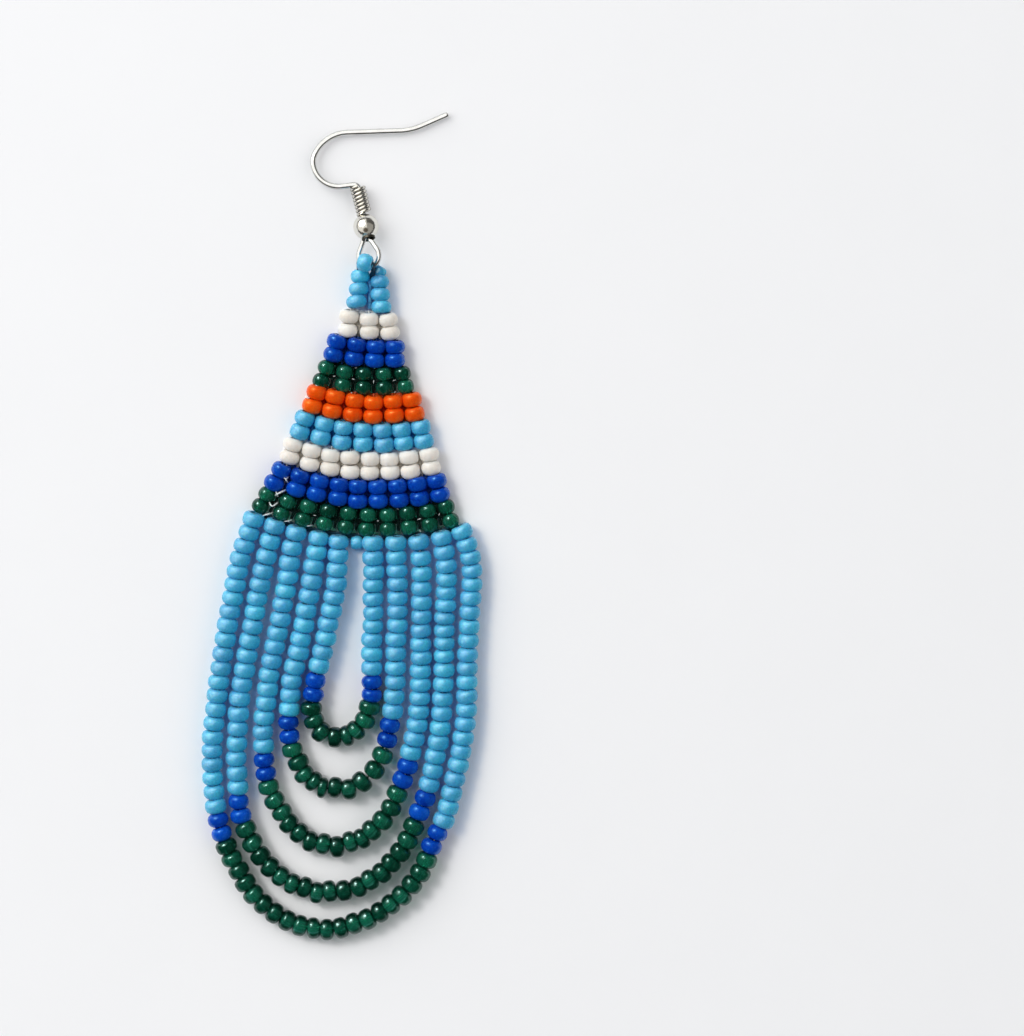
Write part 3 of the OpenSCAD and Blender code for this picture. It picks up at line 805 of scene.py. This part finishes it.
def lathe(prof, seg, frame4):
    prof = np.array(prof)
    ang = np.linspace(0, 2 * math.pi, seg, endpoint=False)
    m = len(prof)
    V = np.zeros((m, seg, 3))
    V[:, :, 0] = prof[:, 1:2]
    V[:, :, 1] = prof[:, :1] * np.cos(ang)
    V[:, :, 2] = prof[:, :1] * np.sin(ang)
    V = V.reshape(-1, 3) @ frame4[:3, :3].T + frame4[:3, 3]
    F = []
    for i in range(m):
        for j in range(seg):
            F.append((i * seg + j, i * seg + (j + 1) % seg, ((i + 1) % m) * seg + (j + 1) % seg, ((i + 1) % m) * seg + j))
    return V, F


B = mov(*bc) @ rot("z", 103) @ rot("y", 14)
tubes_piece("wire_ball.ball", "ball", [lathe(prof, seg, B)], "wire_ball")
# collar set in the lower hole, painted near-black as the shade inside the hole
x0 = RB * math.cos(t1)
collar = [(0.80, x0 + 0.25), (0.83, x0 - 0.05), (0.85, x0 - 0.20), (0.84, x0 - 0.30), (0.78, x0 - 0.33), (0.68, x0 - 0.30),
          (0.62, x0 - 0.15), (0.60, x0 + 0.25)]
collar = [(r, x) for r, x in collar]
tubes_piece("wire_ball.collar", "collar", [lathe(collar, 48, B)])

# thread that hangs the bead ring in the teardrop, knotted in the gap between the four beads; the thick near-black knot
# is painted shade in that gap
core(smooth([G(359, 277, 1.2), G(358, 268, 2.2), G(359, 262, 3.2), G(366, 262.5, 3.3), G(373, 263.5, 3.1),
             G(375, 268, 1.8), G(377, 271, 1.0), G(380, 279, 1.2)], 6), 0.14, 8, "deep")
for k in range(-1, 4):
    core(smooth([G(371.2 + 0.7 * k, 262.5 + k, 2.9 - 0.15 * k), G(372.4 + 0.5 * k, 267 + k, 2.5 - 0.2 * k),
                 G(373.0 + 0.3 * k, 271.5, 1.9), G(371.4 + 0.5 * k, 276, 1.2), G(371.0, 280, 0.5)], 5), 0.22, 8, "deep")
# pale blue thread in the gap between the two columns, painted as the shade and bounce light there
for k in range(2):
    core(smooth([G(369.8, 279, 0.9 - 0.2 * k), G(369.8 + 0.6 * k, 286, 0.9 - 0.2 * k), G(369.2 + 0.6 * k, 297, 0.8),
                 G(369 + k, 308, 0.6)], 5), 0.2, 8, "light")
core(smooth([G(355, 300, 1.0), G(352, 315, 1.0)], 4), 0.1, 6, "white")
core(smooth([G(382, 305, 1.0), G(387, 318, 1.0)], 4), 0.1, 6, "white")
threads.append(tube(smooth([G(342, 542, 1.0), G(356, 542.7, 0.9), G(370, 543, 1.0)], 4), 0.07, 6))
tubes_piece("thread.clear", "thread", threads)
tubes_piece("thread.core", "core", cores, shades=shades)

# ---------------------------------------------------------------- floor, light, world
me = bpy.data.meshes.new("floor")
me.from_pydata([(-3, -3, 0), (3, -3, 0), (3, 3, 0), (-3, 3, 0)], [], [(0, 1, 2, 3)])
floor = bpy.data.objects.new("floor", me)
bpy.context.scene.collection.objects.link(floor)
fm = bpy.data.materials.new("pale floor")
fm.use_nodes = True
t = Tree(fm.node_tree)
obj = t.add("ShaderNodeTexCoord").outputs["Object"]
soft = t.noise(60.0, 3.0, 0.6, obj)
p = t.add("ShaderNodeBsdfPrincipled", {"Base Color": t.mix(soft, (0.905, 0.905, 0.92), (0.925, 0.925, 0.94))})
p.inputs["Roughness"].default_value = 0.75
p.inputs["Specular IOR Level"].default_value = 0.2
t.add("ShaderNodeOutputMaterial", {"Surface": p.outputs[0]})
me.materials.append(fm)

KEY = np.array([-0.571, 0.373, 0.731])


def lamp(name, toward, far, size, energy, color, glossy=True):
    """Round soft light, far metres off in the direction toward, aimed at the object."""
    data = bpy.data.lights.new(name, "AREA")
    data.shape = "DISK"
    data.size = size
    data.energy = energy
    data.color = color
    ob = bpy.data.objects.new(name, data)
    v = np.array(toward, float)
    v /= np.linalg.norm(v)
    ob.location = v * far
    ob.rotation_euler = (math.acos(v[2]), 0, math.atan2(v[1], v[0]) + math.pi / 2)
    ob.visible_glossy = glossy
    ob.visible_camera = False
    bpy.context.scene.collection.objects.link(ob)
    return ob


def panel(name, left, right, low, high, z, bright, color):
    """Level panel z metres up that faces down, from left to right and low to high (m)."""
    data = bpy.data.lights.new(name, "AREA")
    data.shape = "RECTANGLE"
    data.size, data.size_y = right - left, high - low
    data.energy = bright * math.pi * data.size * data.size_y
    data.color = color
    ob = bpy.data.objects.new(name, data)
    ob.location = ((left + right) / 2, (low + high) / 2, z)
    ob.visible_camera = False
    bpy.context.scene.collection.objects.link(ob)
    return ob


def all_but(name, *starts):
    group = bpy.data.collections.new(name)
    for ob in bpy.data.objects:
        if ob.type == "MESH" and not ob.name.startswith(starts):
            group.objects.link(ob)
    return group


def only(light, name, *starts):
    """Let the light reach only the pieces whose names start so."""
    group = bpy.data.collections.new(name)
    for ob in bpy.data.objects:
        if ob.name.startswith(starts):
            group.objects.link(ob)
    light.light_linking.receiver_collection = group


def shine(*args):
    """Lamp that is seen only in reflections."""
    ob = lamp(*args)
    ob.visible_diffuse = ob.visible_transmission = ob.visible_volume_scatter = False
    return ob


# a broad soft light with a brighter middle; the beads reflect it from further up the picture
PALE = (1.0, 0.995, 0.985)
SHINE = (-0.50, 0.64, 0.58)
lamp("key", KEY, 1.3, 1.38, 6.65, PALE, False)
middle = lamp("key_middle", KEY, 1.28, 0.36, 5.4, PALE, False)
bead_shine = (shine("bead_shine", SHINE, 1.3, 1.38, 6.55, PALE), shine("bead_shine_middle", SHINE, 1.28, 0.40, 5.4, PALE))
metal_shine = shine("metal_shine", KEY, 1.3, 1.38, 6.55, PALE)
metal_middle = shine("metal_shine_middle", KEY, 1.28, 0.36, 5.4, PALE)
ball_shine = shine("ball_shine", (-0.56, 0.42, 0.72), 1.3, 1.2, 29.0, PALE)
# small and broad reflections: white sparks in the clear glass, a soft sheen on the sky beads
GREEN = ("beads.band_green",) + tuple(f"beads.loop{k}_green" for k in LOOPS)
spark = shine("spark", (-0.49, 0.60, 0.63), 1.2, 0.48, 8.0, (1.0, 1.0, 1.0))
sheen = shine("sheen", (-0.64, 0.54, 0.54), 1.0, 3.0, 106.0, (1.0, 0.84, 0.79))
only(spark, "sparkling", *GREEN)
only(sheen, "satin", "beads.band_sky", "beads.apex", "beads.link", *(f"beads.loop{k}_sky" for k in LOOPS))
# the room above, which only the metal sees: pale to the left and far side, dim elsewhere
METAL = ("ear_wire.", "wire_coil.", "wire_ball.")
middle.light_linking.blocker_collection = all_but("blockers", *METAL)          # too small for a shadow in it
middle.light_linking.receiver_collection = all_but("lit by the middle", "wire_ball.")
metal_middle.light_linking.blocker_collection = all_but("shine blockers", *METAL)
only(metal_shine, "shiny", "ear_wire.", "wire_coil.")
only(ball_shine, "shiny ball", "wire_ball.")
only(metal_middle, "shiny wire", "ear_wire.", "wire_coil.")
for k, ob in enumerate(bead_shine):
    ob.light_linking.receiver_collection = all_but(f"glassy {k}", *METAL)
only(panel("pale ceiling", -2.6, 0.24, -0.16, 2.2, 0.45, 1.15, (1.0, 0.99, 0.965)), "pale side", "ear_wire.", "wire_coil.")
only(panel("ball ceiling", -2.6, 0.08, -0.75, 1.6, 0.45, 0.80, (1.0, 0.985, 0.94)), "ball side", "wire_ball.")
only(panel("ball grey", 0.08, 1.3, -1.2, 0.35, 0.45, 0.26, (1.0, 0.96, 0.88)), "ball grey side", "wire_ball.")
only(panel("dim ceiling", -3.0, 3.0, -3.0, 3.0, 0.5, 0.10, (1.0, 0.96, 0.90)), "dim side", *METAL)

world = bpy.data.worlds.new("studio")
bpy.context.scene.world = world
world.use_nodes = True
t = Tree(world.node_tree)
look = t.add("ShaderNodeTexCoord").outputs["Generated"]


def lobe(v, inner, outer):
    v = np.array(v, float)
    v /= np.linalg.norm(v)
    n = t.add("ShaderNodeVectorMath", operation="DOT_PRODUCT")
    t.put(n.inputs[0], look)
    n.inputs[1].default_value = tuple(v)
    return t.ramp(n.outputs["Value"], math.cos(math.radians(outer)), math.cos(math.radians(inner)))


window = lobe((-0.78, 0.54, 0.36), 5, 56)
wall = lobe((0.85, -0.05, 0.5), 10, 65)
above = lobe((0.0, 0.0, 1.0), 12, 34)
col = t.mix(window, (0.060, 0.100, 0.135), (1.58, 1.55, 1.51))
col = t.mix(wall, col, (1.12, 1.09, 1.06))
col = t.mix(t.math("MULTIPLY", above, 0.93), col, (0.02, 0.02, 0.02))
bg = t.add("ShaderNodeBackground", {"Color": col, "Strength": 1.0})
t.add("ShaderNodeOutputWorld", {"Surface": bg.outputs[0]})
world.cycles_visibility.glossy = False          # only the lamps make highlights

view = bpy.context.scene.view_settings
view.view_transform = "Standard"
view.look = "None"
view.exposure = 0.0
view.gamma = 1.0
